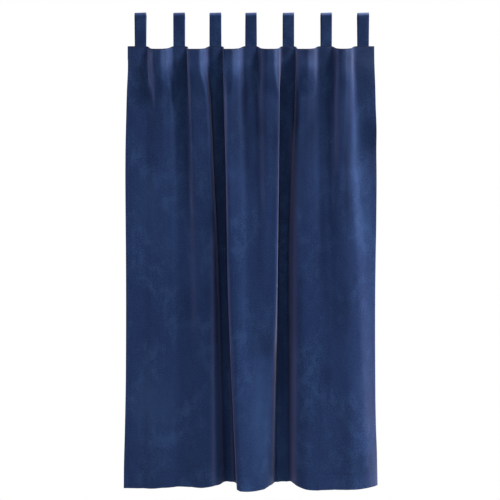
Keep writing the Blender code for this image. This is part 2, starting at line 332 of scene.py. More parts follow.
HEM_LINE = (  # X, and how far the hem is lifted there
    (-0.560, -0.0015), (-0.500, -0.004), (-0.455, 0.000), (-0.400, +0.0055), (-0.345, +0.002),
    (-0.280, 0.000), (-0.210, +0.006), (-0.160, +0.013), (-0.130, +0.009), (-0.090, +0.003),
    (-0.058, +0.009), (-0.046, +0.005), (-0.020, +0.001), (+0.030, -0.001), (+0.060, +0.001),
    (+0.085, +0.010), (+0.110, +0.006), (+0.165, +0.005), (+0.195, +0.016), (+0.250, +0.005),
    (+0.300, -0.002), (+0.360, -0.002), (+0.410, +0.002), (+0.445, +0.003), (+0.500, -0.001),
    (+0.535, -0.003), (+0.570, -0.008),
)
HEM_REACH = 0.40  # the lift is spread over this much cloth above the hem
SWING_REACH = 0.060  # and an edge's swing over this much beside it
LEFT_SWING = (  # depths, and how far the edge stands further right there
    (0.0, 0.15, 0.45, 0.95, 1.30, 1.50, 1.75, 1.90, DROP),
    (0.0, 0.002, 0.0005, 0.003, 0.0045, 0.005, 0.0025, 0.0, 0.0))
RIGHT_SWING = (
    (0.0, 0.25, 0.42, 0.65, 0.80, 0.95, 1.20, 1.60, 1.72, 1.85, DROP),
    (0.0, 0.0, 0.0035, 0.004, 0.004, 0.0025, 0.001, 0.0025, 0.0045, 0.0065, 0.009))
DENT_WIDTH = 0.0016  # a row of stitches pulls the pile down over this much
DENT_DEPTH = 0.45  # share of the thickness that the thread takes up
EDGE_SHARE = 0.25  # share of the thickness left at a cut edge


def eased(t):
    """0 to 1, level at both ends."""
    t = np.clip(t, 0.0, 1.0)
    return t * t * (3 - 2 * t)


def beside(x, depths, line, left, right):
    """1 on a slanting line down the cloth, less to both sides of it and towards its ends."""
    share = np.clip((depths - line.start) / (line.end - line.start), 0.0, 1.0)
    off = x - (line.top + (line.foot - line.top) * share)
    fade = min(CREASE_FADE, (line.end - line.start) / 3)
    ends = eased((depths - line.start) / fade) * eased((line.end - depths) / fade)
    return np.exp(-(off / np.where(off < 0, left, right)) ** 2) * ends


def settled(grid, depths):
    """The draped panel with its soft creases, its swinging side edges and its uneven hem."""
    grid = grid.copy()
    x = grid[..., 0].copy()
    down = depths[:, None]
    for crease in CREASES:
        grid[..., 1] -= crease.rise * beside(x, down, crease, crease.left, crease.right)
    for swing, edge in ((LEFT_SWING, x[:, :1]), (RIGHT_SWING, x[:, -1:])):
        shift = np.array([glide(depth, *swing) for depth in depths])[:, None]
        grid[..., 0] += shift * np.exp(-((x - edge) / SWING_REACH) ** 2)
    lift = np.interp(x, *zip(*HEM_LINE))
    grid[..., 2] += lift * eased((down - (DROP - HEM_REACH)) / HEM_REACH)
    return grid


def painted_sheen_bands(grid, depths):
    """How strong the painted sheen is at each point, 0 to 1."""
    amount = np.zeros(grid.shape[:2])
    for line in PAINTED_SHEEN:
        near = beside(grid[..., 0], depths[:, None], line, line.width, line.width)
        amount = np.maximum(amount, line.amount * near)
    return amount


def painted_light_and_shade(grid, depths):
    """Painted light (above 0) and painted shade (below 0) at each point."""
    amount = np.zeros(grid.shape[:2])
    for patch in PAINTED_LIGHT:
        aside = (grid[..., 0] - patch.x) / patch.half_width
        along = (depths[:, None] - patch.depth) / patch.half_height
        amount += patch.amount * np.exp(-(aside ** 2 + along ** 2))
    return np.clip(amount, -1, 1)


def sewn_dent(distance):
    """How far a row of stitches pulls the pile down at a distance from it, 0 to 1."""
    return np.exp(-(distance / DENT_WIDTH) ** 2)


# Meshes ---------------------------------------------------

def facing_way(grid):
    """Unit directions square to a grid of points, out to the room side."""
    right = np.gradient(grid, axis=1)
    down = np.gradient(grid, axis=0)
    way = np.cross(down, right)
    return way / np.linalg.norm(way, axis=2, keepdims=True)


def edge_round(distance, radius):
    """How much of the full thickness the cloth has at this distance from its edge."""
    inward = np.clip(distance / radius, 0.0, 1.0)
    return EDGE_SHARE + (1 - EDGE_SHARE) * np.sqrt(1 - (1 - inward) ** 2)


def new_object(name, data):
    """An object in the scene for a finished mesh, light or camera."""
    made = bpy.data.objects.new(name, data)
    bpy.context.scene.collection.objects.link(made)
    return made


def closed_cloth(name, middle, way, out, behind, flat, aside, materials, back_slots=0, marks=None):
    """A closed sheet, so far out and behind a grid of points, with its flat places as UV map."""
    rows, cols = middle.shape[:2]
    count = rows * cols
    faces = [middle + way * out[..., None], middle - way * behind[..., None]]
    points = np.concatenate(faces).reshape(-1, 3)
    index = np.arange(count).reshape(rows, cols)
    a, b, c, d = index[1:, :-1], index[1:, 1:], index[:-1, 1:], index[:-1, :-1]
    front_quads = np.stack([a, b, c, d], axis=-1).reshape(-1, 4)
    back_quads = front_quads[:, ::-1] + count
    ring = np.concatenate([index[0, :-1], index[:-1, -1], index[-1, :0:-1], index[:0:-1, 0]])
    after = np.roll(ring, -1)
    rim_quads = np.stack([ring, after, after + count, ring + count], axis=-1)
    quads = np.vstack([front_quads, back_quads, rim_quads])
    mesh = bpy.data.meshes.new(name)
    mesh.from_pydata(points.tolist(), [], quads.tolist())
    flat = np.stack(np.meshgrid(*flat), axis=-1)
    flat = np.concatenate([flat, flat + (aside, 0.0)]).reshape(-1, 2)
    layer = mesh.uv_layers.new(name="Flat")
    layer.data.foreach_set("uv", flat[quads.ravel()].astype(np.float32).ravel())
    for material in materials:
        mesh.materials.append(material)
    slots = np.zeros(len(quads), dtype=np.int32)
    slots[len(front_quads):-len(rim_quads)] = np.ravel(back_slots)
    mesh.polygons.foreach_set("material_index", slots)
    for mark, values in (marks or {}).items():
        both = np.tile(values.ravel(), 2).astype(np.float32)
        mesh.attributes.new(mark, "FLOAT", "POINT").data.foreach_set("value", both)
    mesh.shade_smooth()
    return new_object(name, mesh)


# Materials ------------------------------------------------

def feed(tree, node, inputs):
    """Give a node's inputs, by name or number, a value or a link from another node."""
    for place, value in inputs.items():
        if isinstance(value, bpy.types.NodeSocket):
            tree.links.new(value, node.inputs[place])
        else:
            node.inputs[place].default_value = value


def add_node(tree, kind, inputs=None, **settings):
    """A new node with its settings and inputs."""
    node = tree.nodes.new(kind)
    for name, value in settings.items():
        setattr(node, name, value)
    feed(tree, node, inputs or {})
    return node


class Nodes:
    """A short way to write a material's nodes and the links between them."""

    def __init__(self, name):
        self.material = bpy.data.materials.new(name)
        self.material.use_nodes = True
        self.tree = self.material.node_tree
        self.shader = self.tree.nodes["Principled BSDF"]
        self.node = functools.partial(add_node, self.tree)
        self.surface = functools.partial(feed, self.tree, self.shader)

    def flat_cloth(self, scale=(1.0, 1.0, 1.0)):
        """Position on the flat cloth in metres, stretched by a scale."""
        place = self.node("ShaderNodeUVMap", uv_map="Flat")
        mapping = self.node("ShaderNodeMapping", {"Vector": place.outputs["UV"], "Scale": scale})
        return mapping.outputs["Vector"]

    def noise(self, vector, scale, detail=2.0, roughness=0.5):
        return self.node("ShaderNodeTexNoise", {
            "Vector": vector, "Scale": scale, "Detail": detail,
            "Roughness": roughness}).outputs["Fac"]

    def clouds(self, across_metre, down_metre, detail=2.0, roughness=0.5):
        """Noise with so many clouds to a metre of the flat cloth each way."""
        place = self.flat_cloth((across_metre, down_metre, 1.0))
        return self.noise(place, 1.0, detail, roughness)

    def spread(self, value, low, high, to_low=0.0, to_high=1.0):
        """The value from low to high, drawn out over a new range."""
        return self.node("ShaderNodeMapRange", {
            "Value": value, "From Min": low, "From Max": high,
            "To Min": to_low, "To Max": to_high}).outputs["Result"]

    def maths(self, operation, first, second):
        inputs = {0: first, 1: second}
        return self.node("ShaderNodeMath", inputs, operation=operation).outputs["Value"]

    def total(self, *values):
        """The sum of several values."""
        return functools.reduce(functools.partial(self.maths, "ADD"), values)

    def mix_colours(self, factor, first, second):
        inputs = {0: factor, 6: first, 7: second}
        return self.node("ShaderNodeMix", inputs, data_type="RGBA").outputs[2]

    def mark(self, name):
        """A mark that the mesh carries at each point."""
        return self.node("ShaderNodeAttribute", attribute_name=name).outputs["Fac"]

    def bump(self, height, strength, distance, **under):
        """Slopes from a height, over those of another bump where one is given."""
        inputs = {"Height": height, "Strength": strength, "Distance": distance, **under}
        return self.node("ShaderNodeBump", inputs).outputs["Normal"]


def tinted(colour, share):
    """A colour made lighter or darker, with alpha."""
    return (*(channel * share for channel in colour), 1.0)


def make_velvet(name, looks, share, sheen_share):
    """Pile velvet: dark face on, pale along grazing edges, with light, shade and rim sheen painted
    in from its marks.
    """
    nodes = Nodes(name)
    ruffled = nodes.spread(nodes.clouds(6.0, 4.2), 0.44, 0.60)
    clouds = nodes.clouds(24.0, 15.0, detail=4.0, roughness=0.6)
    strokes = nodes.clouds(105.0, 13.0)
    flecks = nodes.clouds(190.0, 150.0, roughness=0.6)
    pile = nodes.noise(nodes.flat_cloth(), 950.0, roughness=0.7)
    patches = nodes.spread(clouds, 0.47, 0.60, 0.0, 0.30)
    specks = nodes.spread(flecks, 0.55, 0.70, 0.0, 0.75)
    nap = nodes.total(
        nodes.spread(clouds, 0.30, 0.70, 0.10, 0.30),
        nodes.maths("MULTIPLY", ruffled, nodes.total(patches, specks)),
        nodes.spread(ruffled, 0.0, 1.0, 0.0, 0.10),
        nodes.spread(strokes, 0.36, 0.66, -0.02, 0.06),
        nodes.spread(flecks, 0.36, 0.64, -0.16, 0.16),
        nodes.spread(flecks, 0.65, 0.74, 0.0, 0.55),
        nodes.spread(flecks, 0.24, 0.36, -0.20, 0.0))
    # Painted light and shade from the mesh's mark: above 0 the colour goes paler, below 0 it goes
    # towards the painted shade colour.
    painted_light = nodes.mark("PaintedLight")
    up = nodes.spread(painted_light, 0.0, 1.0)
    down = nodes.spread(painted_light, 0.0, -1.0)
    shade = nodes.total(nap, up, nodes.spread(pile, 0.3, 0.7, -0.08, 0.08))
    colour = nodes.mix_colours(shade, tinted(looks.velvet, share), tinted(looks.ruffled_and_lit, share))
    colour = nodes.mix_colours(down, colour, tinted(looks.painted_shade, share))
    # Painted sheen: pale bands along fold edges, where grazing light would fall.
    colour = nodes.mix_colours(nodes.mark("PaintedSheen"), colour, tinted(looks.painted_sheen, share))
    sewn = nodes.maths("MULTIPLY", nodes.mark("Sewn"), 0.7)
    soft = nodes.bump(clouds, 0.30, 0.004)
    nodes.surface({
        "Base Color": nodes.mix_colours(sewn, colour, tinted(looks.velvet, 0.4)),
        "Roughness": nodes.total(nodes.spread(nap, 0.0, 1.0, 0.56, 0.46),
                                 nodes.spread(painted_light, 0.0, -1.0, 0.0, 0.25)),
        "Specular IOR Level": looks.gloss,
        "Specular Tint": (*looks.gloss_colour, 1.0),
        "Sheen Weight": looks.sheen * sheen_share,
        "Sheen Roughness": looks.sheen_roughness,
        "Sheen Tint": (*looks.sheen_colour, 1.0),
        "Normal": nodes.bump(pile, 0.45, 0.0004, Normal=soft)})
    return nodes.material


def make_reverse(name, colour):
    """The wrong side of velvet: a flat, fine weave with hardly any sheen."""
    nodes = Nodes(name)
    flat = nodes.flat_cloth()
    clouds = nodes.noise(flat, 14.0, detail=3.0)
    mottle = nodes.noise(flat, 130.0, detail=3.0, roughness=0.65)
    warp, weft = (
        nodes.node("ShaderNodeTexWave", {
            "Vector": flat, "Scale": 330.0, "Distortion": 0.6, "Detail": 1.0},
            bands_direction=way).outputs["Fac"] for way in ("X", "Y"))
    weave = nodes.maths("MULTIPLY", warp, weft)
    shade = nodes.total(nodes.spread(weave, 0.0, 1.0, 0.0, 0.35),
                        nodes.spread(clouds, 0.3, 0.7, 0.0, 0.35),
                        nodes.spread(mottle, 0.35, 0.65, 0.0, 0.30))
    nodes.surface({
        "Base Color": nodes.mix_colours(shade, tinted(colour, 0.66), tinted(colour, 1.34)),
        "Roughness": 0.86, "Specular IOR Level": 0.2,
        "Sheen Weight": 0.12, "Sheen Roughness": 0.5,
        "Normal": nodes.bump(weave, 0.5, 0.0003)})
    return nodes.material


def make_thread(name, colour):
    """Polyester sewing thread, a little glossier than the velvet."""
    nodes = Nodes(name)
    place = nodes.node("ShaderNodeTexCoord").outputs["Object"]
    twist = nodes.noise(place, 2600.0, detail=1.0)
    nodes.surface({
        "Base Color": nodes.mix_colours(twist, tinted(colour, 0.7), tinted(colour, 1.3)),
        "Roughness": 0.55, "Sheen Weight": 0.2,
        "Normal": nodes.bump(twist, 0.3, 0.0001)})
    return nodes.material


# Settings -------------------------------------------------

class CurtainSizes(bpy.types.PropertyGroup):
    flat_width: FloatProperty(
        name="Flat width", description="Side hem to side hem, laid flat",
        default=1.4, min=1.3, max=1.6, unit="LENGTH")
    tab_width: FloatProperty(
        name="Tab width", description="Width of each tab",
        default=0.05, min=0.02, max=0.06, unit="LENGTH")
    facing_depth: FloatProperty(
        name="Facing depth", description="Depth of the strip behind the top edge",
        default=0.06, min=0.03, max=0.064, unit="LENGTH")
    side_hem: FloatProperty(
        name="Side hem", description="Width turned to the back at each side",
        default=0.025, min=0.01, max=0.05, unit="LENGTH")
    bottom_hem: FloatProperty(
        name="Bottom hem", description="Depth turned to the back at the bottom",
        default=0.075, min=0.02, max=0.15, unit="LENGTH")
    stitch_pitch: FloatProperty(
        name="Stitch pitch", description="Start of one stitch to the next",
        default=0.0042, min=0.002, max=0.01, unit="LENGTH")
    fold_steps: IntProperty(
        name="Fold steps", description="Faces across each fold",
        default=46, min=8, max=60)
    row_step: FloatProperty(
        name="Row step", description="Height of the panel's faces",
        default=0.0190, min=0.005, max=0.1, unit="LENGTH")


class CurtainLooks(bpy.types.PropertyGroup):
    velvet: FloatVectorProperty(
        name="Velvet", description="Colour of the pile where it lies smooth",
        default=(0.0084, 0.0190, 0.0848), subtype="COLOR", min=0, max=1)
    # Colour of painted shade, put on the pile in place of shade.
    painted_shade: FloatVectorProperty(
        name="PaintedShade velvet", description="Colour of the pile stroked down",
        default=(0.0, 0.0040, 0.0400), subtype="COLOR", min=0, max=1)
    # The pale end of the pile's random tone, and also the colour of painted highlights.
    ruffled_and_lit: FloatVectorProperty(
        name="RuffledAndLit velvet", description="Colour of the pile where it is ruffled",
        default=(0.0290, 0.0640, 0.1730), subtype="COLOR", min=0, max=1)
    # Colour of the painted sheen along fold edges.
    painted_sheen: FloatVectorProperty(
        name="Rubbed velvet", description="Colour of the pile rubbed at a fold's edge",
        default=(0.085, 0.100, 0.230), subtype="COLOR", min=0, max=1)
    reverse: FloatVectorProperty(
        name="Reverse", description="Colour of the velvet's woven back",
        default=(0.0090, 0.0220, 0.0750), subtype="COLOR", min=0, max=1)
    sheen_colour: FloatVectorProperty(
        name="Sheen colour", description="Colour of the pile's grazing light",
        default=(0.80, 0.75, 0.95), subtype="COLOR", min=0, max=1)
    sheen: FloatProperty(
        name="Sheen", description="Strength of the pile's grazing light",
        default=0.42, min=0, max=1, subtype="FACTOR")
    sheen_roughness: FloatProperty(
        name="Sheen roughness", description="How widely the grazing light spreads",
        default=0.35, min=0, max=1, subtype="FACTOR")
    gloss: FloatProperty(
        name="Gloss", description="Strength of the pile's soft highlights",
        default=0.5, min=0, max=1, subtype="FACTOR")
    gloss_colour: FloatVectorProperty(
        name="Gloss colour", description="Colour of the pile's soft highlights",
        default=(0.33, 0.57, 0.97), subtype="COLOR", min=0, max=1)
    thread: FloatVectorProperty(
        name="Thread", description="Colour of the sewing thread",
        default=(0.010, 0.030, 0.100), subtype="COLOR", min=0, max=1)
    key_power: FloatProperty(
        name="Key light", description="Power of the light from the right",
        default=1108.0, min=0, max=2000, unit="POWER")
    fill_power: FloatProperty(
        name="Fill light", description="Power of the light from the left",
        default=150.0, min=0, max=2000, unit="POWER")


def cloth_material(kind):
    """The named cloth of this curtain, made once."""
    looks = bpy.context.scene.curtain_looks
    # The tabs' velvet is a copy 3% darker, painted shade against the key light, with less sheen;
    # the facing's copy is 6% darker.
    name, make, *values = {
        "panel": ("Navy velvet", make_velvet, looks, 1.0, 1.0),
        "facing": ("Navy velvet facing", make_velvet, looks, 0.94, 1.0),
        "tabs": ("Navy velvet tabs", make_velvet, looks, 0.97, 0.75),
        "reverse": ("Velvet reverse", make_reverse, looks.reverse),
        "thread": ("Navy thread", make_thread, looks.thread),
    }[kind]
    return bpy.data.materials.get(name) or make(name, *values)


# Pieces ---------------------------------------------------

HEM_LAYERS = 0.0024  # how far the turned hem stands out behind the panel
HEM_STEP = 0.0020  # width over which that thickness ends
HEM_NEAR = 0.008  # the faces get finer this far above its edge
HEM_SHOWN = 0.05  # above this share of it, the back shows the velvet's face
HEADING_SHADE = ((0.0055, 0.5), (0.05, 0.3))  # painted shade along the heading's edge: this near it, this much
ROW_IN = 0.0044  # rows of stitches run this far inside an edge
ROW_CLEAR = 0.0035  # the cloth is level again this far from a row
WEAK_DENT = 0.3  # a row through the back layers dents the face this much
TOP_ROWS = (0.0, 0.0006, 0.0015, 0.0028, 0.0044, 0.006, 0.008, 0.012)  # of faces
FOOT_ROWS = (0.011, 0.006, 0.003, 0.0015, 0.0006, 0.0)  # up from the hem
SIDE_ROWS = (0.0006, 0.0015, 0.003, 0.006)  # in from both sides
CLOSEST = 0.0012  # no other face's edge stands closer than this to those
FACING_FLAT, TAB_FLAT = 5.0, 9.0  # each piece has its own part of the flat cloth, for its nap
PANEL_ASIDE, FACING_ASIDE, TAB_ASIDE = 3.0, 2.0, 0.3  # and its back stands this far aside


def by_row(row):
    """Places at a row of stitches and to both sides of it."""
    return [row - ROW_CLEAR, row - DENT_WIDTH, row, row + DENT_WIDTH, row + ROW_CLEAR]


def between(start, end, step):
    """Even places between two others, about a step apart."""
    return list(np.linspace(start, end, int((end - start) / step) + 1)[1:-1])


def panel_depths(sizes):
    """Depths of the panel's rows: close at both edges and at the hem's turned edge."""
    top = list(TOP_ROWS) + by_row(sizes.facing_depth - ROW_IN)
    turned = DROP - sizes.bottom_hem
    hem = [turned - HEM_NEAR, turned - HEM_STEP, turned] + by_row(turned + ROW_IN)[1:]
    foot = [DROP - depth for depth in FOOT_ROWS]
    body = between(top[-1], hem[0], sizes.row_step)
    tail = between(hem[-1], foot[0], sizes.row_step)
    return np.array(top + body + hem + tail + foot)


def with_edges(places, flat_width, side_hem):
    """The places across with finer ones added for the side hems and their rounded edges."""
    near = np.array([*SIDE_ROWS, *by_row(side_hem - ROW_IN)[:4], side_hem, side_hem + HEM_STEP])
    extra = np.concatenate([near, flat_width - near])
    kept = [place for place in places if np.abs(extra - place).min() > CLOSEST]
    return np.array(sorted(kept + extra.tolist()))


class CURTAIN_OT_panel(bpy.types.Operator):
    """Hang the wide piece of velvet, with its side and bottom hems turned to the back"""
    bl_idname = "curtain.panel"
    bl_label = "Velvet Panel"

    def execute(self, context):
        sizes = context.scene.curtain_sizes
        width = sizes.flat_width
        steps = sizes.fold_steps
        places = stations(width, steps, max(steps // 3, 4))
        places = with_edges(places, width, sizes.side_hem)
        depths = panel_depths(sizes)
        grid = settled(draped(places, depths, width), depths)
        way = facing_way(grid)
        from_left, from_top = np.meshgrid(places, depths)
        from_side, from_foot = np.minimum(from_left, width - from_left), DROP - from_top
        from_edge = np.minimum(np.minimum(from_side, from_foot), from_top)
        hem = np.maximum(1 - eased((from_side - sizes.side_hem) / HEM_STEP),
                         1 - eased((from_foot - sizes.bottom_hem) / HEM_STEP))
        sewn = sewn_dent(from_top - ROW_IN)
        for row in (from_top - sizes.facing_depth, from_side - sizes.side_hem,
                    from_foot - sizes.bottom_hem):
            sewn = np.maximum(sewn, WEAK_DENT * sewn_dent(row + ROW_IN))
        # Painted shade near the heading's edge, taken off the painted light and shade mark.
        heading_shade = sum(amount * np.exp(-(from_top / reach) ** 2) for reach, amount in HEADING_SHADE)
        half = THICK / 2 * edge_round(from_edge, THICK / 2)
        sunk = 1 - DENT_DEPTH * sewn
        behind = half + HEM_LAYERS * hem * edge_round(from_edge, THICK) * sunk
        is_hem = (hem[:-1, :-1] + hem[1:, 1:]) / 2 > HEM_SHOWN
        # The marks carry the painted sheen, the painted light and shade, and the stitch dents.
        marks = {"PaintedSheen": painted_sheen_bands(grid, depths),
                 "PaintedLight": painted_light_and_shade(grid, depths) - heading_shade, "Sewn": sewn}
        cloths = [cloth_material("panel"), cloth_material("reverse")]
        piece = closed_cloth("panel_cloth", grid, way, half * sunk, behind, (places, -depths),
                             PANEL_ASIDE, cloths, np.where(is_hem, 0, 1), marks)
        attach(piece, "root")
        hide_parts("panel")
        return {"FINISHED"}


HUMP_EASE, HUMP_WIDTH = 0.001, 0.007  # the facing goes out over a tab this near its sides
FINEST_FACING = 36
FACING_ROWS = (0.0004, 0.001, 0.002, 0.004, 0.012, 0.024, 0.036, 0.048)
FACING_FOOT = (0.004, 0.002, 0.001, 0.0)  # up from its lower edge


def facing_middle(places, depths, sizes):
    """The middle of the facing strip as a grid of points, and which way is the room side."""
    line = across(0.0, places, sizes.flat_width)
    grid = draped(places, depths, sizes.flat_width)
    way = facing_way(grid)
    hump = np.zeros(len(places))
    for tab in TABS:
        over = np.abs(line[:, 0] - tab.x)
        past = over - sizes.tab_width / 2 - HUMP_EASE
        hump = np.maximum(hump, 1 - eased(past / HUMP_WIDTH))
    gap = FACING_NEAR + (FACING_FAR - FACING_NEAR) * hump[None, :]
    return grid - way * gap[..., None], way


class CURTAIN_OT_heading(bpy.types.Operator):
    """Sew the facing strip behind the top edge, over the ends of the tabs"""
    bl_idname = "curtain.heading"
    bl_label = "Heading Facing"

    def execute(self, context):
        sizes = context.scene.curtain_sizes
        width = sizes.flat_width
        steps = min(sizes.fold_steps, FINEST_FACING)
        places = stations(width, steps, steps)
        depth = sizes.facing_depth
        depths = np.array([*FACING_ROWS, *(depth - up for up in FACING_FOOT)])
        middle, way = facing_middle(places, depths, sizes)
        from_edge = np.minimum(np.minimum(places, width - places)[None, :],
                               np.minimum(depths - depths[0], depth - depths)[:, None])
        half = THICK / 2 * edge_round(from_edge, THICK / 2)
        piece = closed_cloth("heading_facing", middle, way, half, half,
                             (places + FACING_FLAT, -depths), FACING_ASIDE,
                             [cloth_material("facing")])
        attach(piece, "root")
        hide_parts("heading")
        return {"FINISHED"}


TAB_CURL = 0.0008  # the long edges of a tab turn in this far
TAB_HELD, TAB_FREE = 0.006, 0.03  # but not this near the heading, and then little by little
TAB_SLANT = 0.0008  # one end of a crown sits this much higher
TAB_UNEVEN = (1.020, 1.035, 1.060, 1.040, 1.025, 1.005, 1.025)  # widths as cut
TAB_TAPER = 0.035  # a crown is pulled this much narrower than its tab's ends
TAB_ROWS, CROWN_ROWS = 110, 25
TAB_PLACES = np.array([0.0, 0.0006, 0.0014, 0.003, *np.linspace(0.007, 0.043, 9),
                       0.047, 0.0486, 0.0494, 0.050]) / 0.05  # as shares of its width
CROWN_SHADE = (0.010, 0.9)  # painted shade this near the crown's top, this much, where the key light falls on it
LEFT_RIM_SHADE = (0.003, 0.8)  # and painted shade this near a tab's left edge, which faces away from the key light


def tab_path():
    """Y and Z along one tab: up from inside the heading, over the crown and down again."""
    bend = ROD_RADIUS + THICK / 2
    lean = math.asin((bend - LEG_Y) / (TAB_RISE - ROD_RADIUS))
    angles = np.linspace(math.pi + lean, -lean, CROWN_ROWS)
    crown = np.column_stack([bend * np.cos(angles), bend * np.sin(angles) - ROD_RADIUS])
    foot = np.array([[-LEG_Y, -TAB_RISE - TAB_TUCK], [-LEG_Y, -TAB_RISE]])
    line = np.vstack([foot, crown, foot[::-1] * (-1, 1)])
    return points_along(line, np.linspace(0, distances(line)[-1], TAB_ROWS))


class CURTAIN_OT_tabs(bpy.types.Operator):
    """Fold the seven tabs and set their ends into the heading"""
    bl_idname = "curtain.tabs"
    bl_label = "Tabs"

    def execute(self, context):
        sizes = context.scene.curtain_sizes
        path = tab_path()
        along = distances(path)
        across_tab = TAB_PLACES * sizes.tab_width
        height = path[::-1, 1:]
        side = (2 * TAB_PLACES - 1)[None, :]
        free = eased((height + TAB_RISE - TAB_HELD) / TAB_FREE)
        free = free * eased((-ROD_RADIUS - height) / TAB_FREE)
        from_edge = np.minimum(across_tab, sizes.tab_width - across_tab)[None, :]
        ends = np.minimum(along, along[-1] - along)[::-1, None]
        half = THICK / 2 * edge_round(np.minimum(from_edge, ends), THICK / 2)
        # Painted shade on each tab's crown and along its left edge.
        painted_tab_shade = CROWN_SHADE[1] * np.exp(-(np.minimum(height, 0) / CROWN_SHADE[0]) ** 2)
        rim = LEFT_RIM_SHADE[1] * np.exp(-(across_tab / LEFT_RIM_SHADE[0]) ** 2)
        painted_tab_shade = np.maximum(painted_tab_shade, rim[None, :])
        for number, (tab, uneven) in enumerate(zip(TABS, TAB_UNEVEN), start=1):
            wide = uneven * (1 + TAB_TAPER * (0.5 - eased(1 + height / TAB_RISE)))
            x = tab.x + (across_tab - sizes.tab_width / 2) * wide
            grid = np.stack(np.broadcast_arrays(x, path[::-1, :1], height), axis=-1)
            grid -= facing_way(grid) * (TAB_CURL * free * side ** 4)[..., None]
            grid[..., 2] += TAB_SLANT * side * eased((height + TAB_RISE) / TAB_RISE)
            piece = closed_cloth(f"tab_cloth_{number}", grid, facing_way(grid), half, half,
                                 (across_tab + TAB_FLAT + number, along[::-1]), TAB_ASIDE,
                                 [cloth_material("tabs")], marks={"PaintedLight": -painted_tab_shade})
            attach(piece, "root")
            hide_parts(f"tab_{number}")
        return {"FINISHED"}


STITCH_LENGTH = 0.0031
THREAD_WIDTH = 0.0007
STITCH_SIDES, STITCH_RINGS = 6, 4
LEAST_STITCH, MOST_STITCH = (0.92, 0.90, 0.90), (1.04, 1.05, 1.05)  # shares of its size
POINTS_ACROSS, POINTS_DOWN = 700, 250  # on a row, before its stitches are laid
NEARBY = 0.001  # the way that a row faces is taken over this much cloth


def stitch_tree():
    """The node group that lays stitches along every line of a mesh."""
    tree = bpy.data.node_groups.new("Stitched Row", "GeometryNodeTree")
    sockets = {"Geometry": "Geometry", "Pitch": "Float", "Stitch Length": "Float",
               "Thread Width": "Float", "Seed": "Int", "Thread": "Material"}
    for name, kind in sockets.items():
        tree.interface.new_socket(name, in_out="INPUT", socket_type=f"NodeSocket{kind}")
    tree.interface.new_socket("Geometry", in_out="OUTPUT", socket_type="NodeSocketGeometry")

    node = functools.partial(add_node, tree)
    given = node("NodeGroupInput").outputs
    line = node("GeometryNodeMeshToCurve", {"Mesh": given["Geometry"]}).outputs["Curve"]
    evenly = node("GeometryNodeResampleCurve", {"Curve": line, "Length": given["Pitch"]},
                  mode="LENGTH").outputs["Curve"]
    tangent = node("GeometryNodeInputTangent").outputs["Tangent"]
    turn = node("FunctionNodeAlignRotationToVector", {"Vector": tangent}, axis="X")
    size = node("ShaderNodeCombineXYZ", {
        "X": given["Stitch Length"], "Y": given["Thread Width"], "Z": given["Thread Width"]})
    uneven = node("FunctionNodeRandomValue", {
        "Min": LEAST_STITCH, "Max": MOST_STITCH, "Seed": given["Seed"]},
        data_type="FLOAT_VECTOR")
    scale = node("ShaderNodeVectorMath", {
        0: size.outputs["Vector"], 1: uneven.outputs["Value"]}, operation="MULTIPLY")
    stitch = node("GeometryNodeMeshUVSphere", {
        "Segments": STITCH_SIDES, "Rings": STITCH_RINGS, "Radius": 0.5})
    laid = node("GeometryNodeInstanceOnPoints", {
        "Points": evenly, "Instance": stitch.outputs["Mesh"],
        "Rotation": turn.outputs["Rotation"], "Scale": scale.outputs["Vector"]})
    real = node("GeometryNodeRealizeInstances", {"Geometry": laid.outputs["Instances"]})
    smooth = node("GeometryNodeSetShadeSmooth", {0: real.outputs["Geometry"]})
    sewn = node("GeometryNodeSetMaterial", {
        "Geometry": smooth.outputs[0], "Material": given["Thread"]})
    node("NodeGroupOutput", {"Geometry": sewn.outputs["Geometry"]})
    return tree


def sew(name, rows, sizes, seed):
    """One piece with the stitches of several rows, each given as points along its thread."""
    points = np.vstack(rows)
    starts = np.cumsum([0] + [len(row) for row in rows])
    edges = [(k, k + 1) for a, b in zip(starts[:-1], starts[1:]) for k in range(a, b - 1)]
    mesh = bpy.data.meshes.new(f"{name}_rows")
    mesh.from_pydata(points.tolist(), edges, [])
    guide = new_object(f"{name}_rows", mesh)
    tree = bpy.data.node_groups.get("Stitched Row") or stitch_tree()
    modifier = guide.modifiers.new("Stitches", "NODES")
    modifier.node_group = tree
    values = {"Pitch": sizes.stitch_pitch, "Stitch Length": STITCH_LENGTH,
              "Thread Width": THREAD_WIDTH, "Seed": seed, "Thread": cloth_material("thread")}
    for item in tree.interface.items_tree:
        if item.in_out == "INPUT" and item.name in values:
            modifier[item.identifier] = values[item.name]
    bpy.context.view_layer.update()
    stitched = guide.evaluated_get(bpy.context.evaluated_depsgraph_get())
    piece = new_object(name, bpy.data.meshes.new_from_object(stitched))
    bpy.data.objects.remove(guide)
    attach(piece, "root")
    return piece


